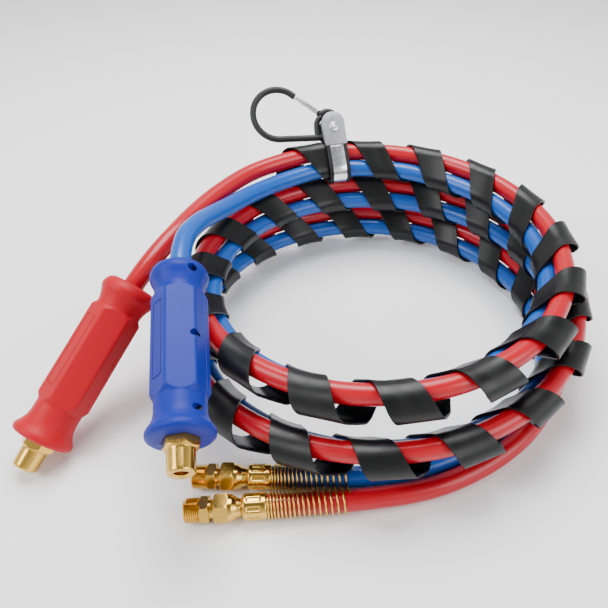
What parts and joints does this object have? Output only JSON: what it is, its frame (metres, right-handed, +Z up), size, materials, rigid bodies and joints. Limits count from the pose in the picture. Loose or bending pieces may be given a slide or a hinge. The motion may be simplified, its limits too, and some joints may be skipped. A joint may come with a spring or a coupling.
{
  "type": "coiled air brake hose set",
  "caption": "Red and blue air hoses coiled together in a spiral wrap, with moulded grips, brass threaded ends, and a clamp with a snap hook to hang them.",
  "frame": {"origin": "on the surface it lies on, under the middle of the box round the grips, fittings and clamp", "axes": "+Z up, +X from the grips across the coil, +Y from the fittings towards the clamp at the back of the coil"},
  "size_m": [0.5529, 0.4853, 0.1908],
  "materials": {
    "red_rubber": "smooth glossy moulded rubber",
    "blue_rubber": "smooth glossy moulded rubber",
    "wrap_plastic": "satin flat spiral strip",
    "red_grip": "satin moulded plastic",
    "blue_grip": "satin moulded plastic",
    "brass": "machined yellow brass",
    "dark_steel": "dark screw heads",
    "bright_steel": "polished strip and bright plated fasteners",
    "cushion_rubber": "matt black rubber",
    "zinc": "grey satin casting",
    "black_zinc": "black coated casting",
    "hook_black": "black coated rod"
  },
  "bodies": {
    "hose_set": {"red_hose": "red_rubber", "blue_hose": "blue_rubber", "spiral_wrap": "wrap_plastic", "red_grip_front_shell": "red_grip", "red_grip_rear_shell": "red_grip", "red_brass_end": "brass", "red_grip_ferrule": "brass", "red_grip_screw_1": "dark_steel", "red_grip_screw_2": "dark_steel", "red_grip_screw_3": "dark_steel", "blue_grip_front_shell": "blue_grip", "blue_grip_rear_shell": "blue_grip", "blue_brass_end": "brass", "blue_grip_ferrule": "brass", "blue_grip_screw_1": "dark_steel", "blue_grip_screw_2": "dark_steel", "blue_grip_screw_3": "dark_steel", "red_swivel_body": "brass", "red_hose_stem": "brass", "red_crimp_ferrule": "brass", "red_spring_guard": "brass", "blue_swivel_body": "brass", "blue_hose_stem": "brass", "blue_crimp_ferrule": "brass", "blue_spring_guard": "brass", "clamp_cushion": "cushion_rubber", "clamp_band": "bright_steel", "clamp_front_cheek": "zinc", "clamp_rear_cheek": "black_zinc", "clamp_bolt": "bright_steel", "clamp_washer": "bright_steel", "clamp_nut": "bright_steel", "clamp_spacer": "bright_steel"},
    "red_adapter": {"red_swivel_adapter": "brass"},
    "blue_adapter": {"blue_swivel_adapter": "brass"},
    "carabiner": {"carabiner_body": "hook_black", "carabiner_gate_pin": "bright_steel"},
    "gate": {"carabiner_gate": "bright_steel", "carabiner_gate_plug": "bright_steel", "carabiner_gate_spring": "bright_steel"}
  },
  "joints": [
    {"name": "carabiner_swing", "type": "hinge", "parent": "hose_set", "child": "carabiner", "pos_m": [0.13107, 0.21586, 0.14562], "axis": [0.1735, -0.7226, 0.6691], "range_deg": [-86, 0]},
    {"name": "carabiner_gate", "type": "hinge", "parent": "carabiner", "child": "gate", "pos_m": [0.11627, 0.22747, 0.162], "axis": [0.1735, -0.7226, 0.6691], "range_deg": [0, 26], "stiffness_Nm_per_rad": 0.15, "springref_deg": -20.05},
    {"name": "red_swivel", "type": "hinge", "parent": "hose_set", "child": "red_adapter", "pos_m": [0.01054, -0.2229, 0.012], "axis": [0.9974, 0.0715, 0], "continuous": true},
    {"name": "blue_swivel", "type": "hinge", "parent": "hose_set", "child": "blue_adapter", "pos_m": [0.01184, -0.1883, 0.012], "axis": [1, 0, 0], "continuous": true}
  ]
}
